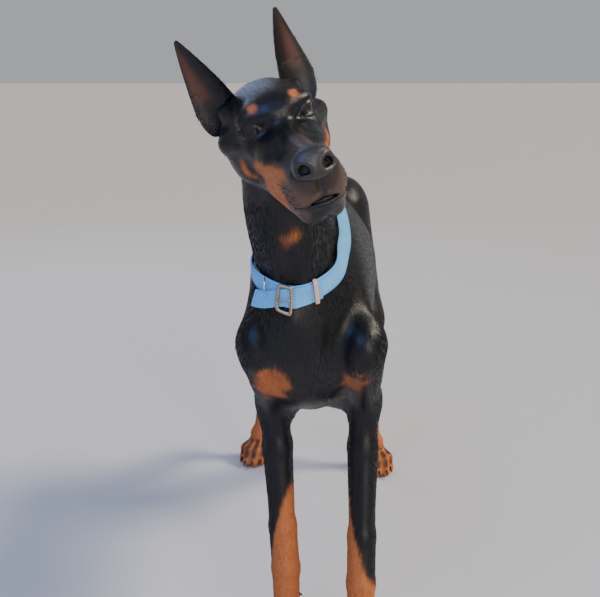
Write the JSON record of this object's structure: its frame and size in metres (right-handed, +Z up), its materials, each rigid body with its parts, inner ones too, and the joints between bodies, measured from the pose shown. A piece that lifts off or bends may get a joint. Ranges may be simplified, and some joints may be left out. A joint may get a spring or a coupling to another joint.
{
  "type": "doberman pinscher",
  "caption": "Standing doberman with cropped ears, a docked tail and a flat webbing collar, its neck stretched forward and its head tilted to look up.",
  "frame": {"origin": "on the floor under the middle of the whole dog's bounding box", "axes": "+Z up, -Y ahead of the dog, +X to the dog's left"},
  "size_m": [0.357, 1.0808, 0.9597],
  "materials": {
    "coat": "short glossy black hair with rust markings",
    "nose_leather": "moist pebbled leather",
    "eye": "wet, dark brown iris",
    "claw": "smooth dark horn",
    "webbing": "woven light blue nylon webbing",
    "keeper": "satin beige",
    "buckle_metal": "satin, rubbed at the edges",
    "ring_metal": "polished"
  },
  "bodies": {
    "root": {"claw_forepaw_left_1": "claw", "claw_forepaw_left_2": "claw", "claw_forepaw_left_3": "claw", "claw_forepaw_left_4": "claw", "claw_forepaw_right_1": "claw", "claw_forepaw_right_2": "claw", "claw_forepaw_right_3": "claw", "claw_forepaw_right_4": "claw", "claw_hindpaw_left_1": "claw", "claw_hindpaw_left_2": "claw", "claw_hindpaw_left_3": "claw", "claw_hindpaw_left_4": "claw", "claw_hindpaw_right_1": "claw", "claw_hindpaw_right_2": "claw", "claw_hindpaw_right_3": "claw", "claw_hindpaw_right_4": "claw", "collar_buckle": "buckle_metal", "collar_d_ring": "ring_metal", "collar_free_end": "webbing", "collar_keeper": "keeper", "collar_strap": "webbing", "dewclaw_left": "claw", "dewclaw_right": "claw", "ear_left": "coat", "ear_right": "coat", "eye_left": "eye", "eye_right": "eye", "foreleg_left": "coat", "foreleg_right": "coat", "forepaw_left": "coat", "forepaw_right": "coat", "head": "coat", "hindleg_left": "coat", "hindleg_right": "coat", "hindpaw_left": "coat", "hindpaw_right": "coat", "neck": "coat", "nose": "nose_leather", "tail": "coat", "trunk": "coat"}
  },
  "joints": []
}
